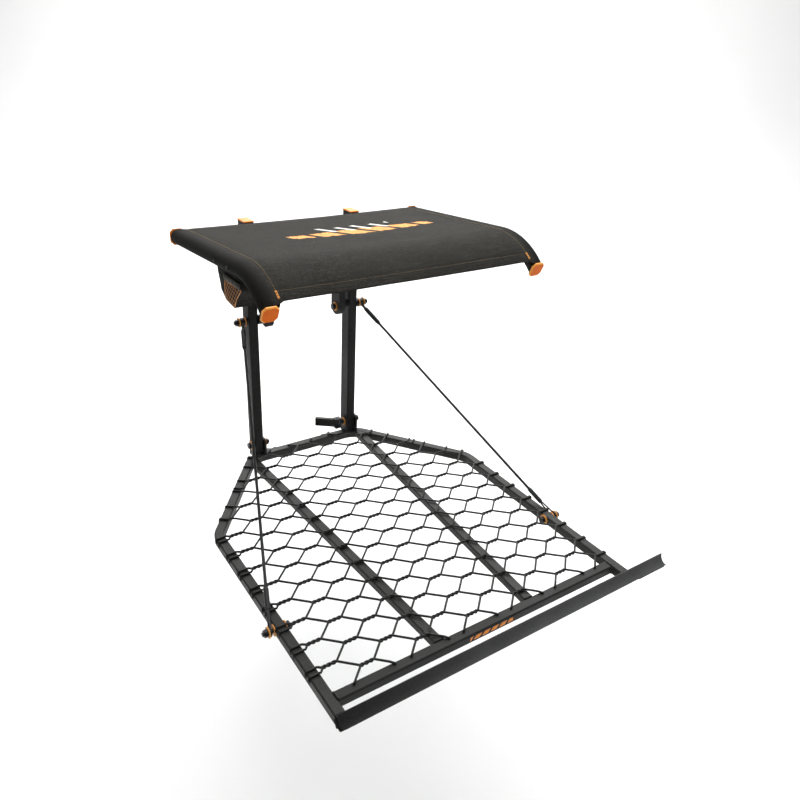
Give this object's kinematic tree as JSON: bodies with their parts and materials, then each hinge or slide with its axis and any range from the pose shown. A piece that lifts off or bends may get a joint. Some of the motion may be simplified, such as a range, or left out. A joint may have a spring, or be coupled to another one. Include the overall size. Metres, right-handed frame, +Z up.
{
  "type": "tree stand",
  "caption": "Hang-on tree stand with a folding wire-mesh platform, two uprights, suspension cables and a flip-up fabric seat.",
  "frame": {"origin": "on the trunk's face, midway between the uprights, at the height of the platform's top surface", "axes": "+Y into the trunk, +Z up along it, -Y towards the platform's front"},
  "size_m": [0.779, 0.8304, 0.6102],
  "materials": {
    "powder_coat": "matte",
    "bar_coat": "satin",
    "black_hardware": "satin",
    "orange_plastic": "satin",
    "orange_nylon": "satin",
    "coated_cable": "satin",
    "coated_wire": "matte",
    "sling_fabric": "woven",
    "orange_net": "net",
    "grey_tape": "woven"
  },
  "bodies": {
    "uprights": {"upright_left": "powder_coat", "upright_right": "powder_coat", "upright_caps": "orange_plastic", "upper_cross_tube": "powder_coat", "tree_bracket": "powder_coat", "strap_posts": "powder_coat", "stop_arm_left": "powder_coat", "stop_arm_right": "powder_coat", "cable_bolts": "black_hardware", "cable_nuts": "black_hardware", "cable_washers": "orange_nylon", "cable_spacers": "black_hardware", "pivot_bolt_left": "black_hardware", "pivot_bolt_right": "black_hardware", "pivot_nuts": "black_hardware", "pivot_washers": "orange_nylon", "seat_hinge_bolts": "black_hardware", "seat_hinge_nuts": "black_hardware", "lever_clevis": "black_hardware", "cable_left": "coated_cable", "cable_right": "coated_cable", "cable_eye_left": "coated_cable", "cable_eye_right": "coated_cable"},
    "platform": {"side_tube_left": "powder_coat", "side_tube_right": "powder_coat", "rear_crossbar": "powder_coat", "front_crossbar": "powder_coat", "rail_left": "powder_coat", "rail_right": "powder_coat", "platform_lugs": "powder_coat", "wire_mesh": "coated_wire", "footrest_bar": "bar_coat", "footrest_stiffener": "bar_coat", "tree_cleat": "powder_coat", "side_bolts": "black_hardware", "side_nuts": "black_hardware", "side_washers": "orange_nylon", "cable_loop_left": "coated_cable", "cable_loop_right": "coated_cable"},
    "seat": {"seat_tube_left": "powder_coat", "seat_tube_right": "powder_coat", "seat_rear_bar": "powder_coat", "seat_front_bar": "powder_coat", "seat_lugs": "powder_coat", "seat_front_plugs": "orange_plastic", "seat_rear_plugs": "orange_plastic", "seat_fabric": "sling_fabric", "sleeve_screws": "black_hardware", "pouch": "orange_net", "pouch_binding": "grey_tape"},
    "lever": {"lock_lever": "powder_coat"}
  },
  "joints": [
    {"name": "platform_fold", "type": "hinge", "parent": "uprights", "child": "platform", "pos_m": [0, -0.0388, 0.0288], "axis": [-1, 0, 0], "range_deg": [0, 40], "deforming": ["cable_left", "cable_right"]},
    {"name": "seat_flip", "type": "hinge", "parent": "uprights", "child": "seat", "pos_m": [0, -0.042, 0.545], "axis": [-1, 0, 0], "range_deg": [0, 86]},
    {"name": "lever_swing", "type": "hinge", "parent": "uprights", "child": "lever", "pos_m": [0.09, -0.0388, 0.0288], "axis": [0, 0, 1], "range_deg": [0, 35]}
  ]
}
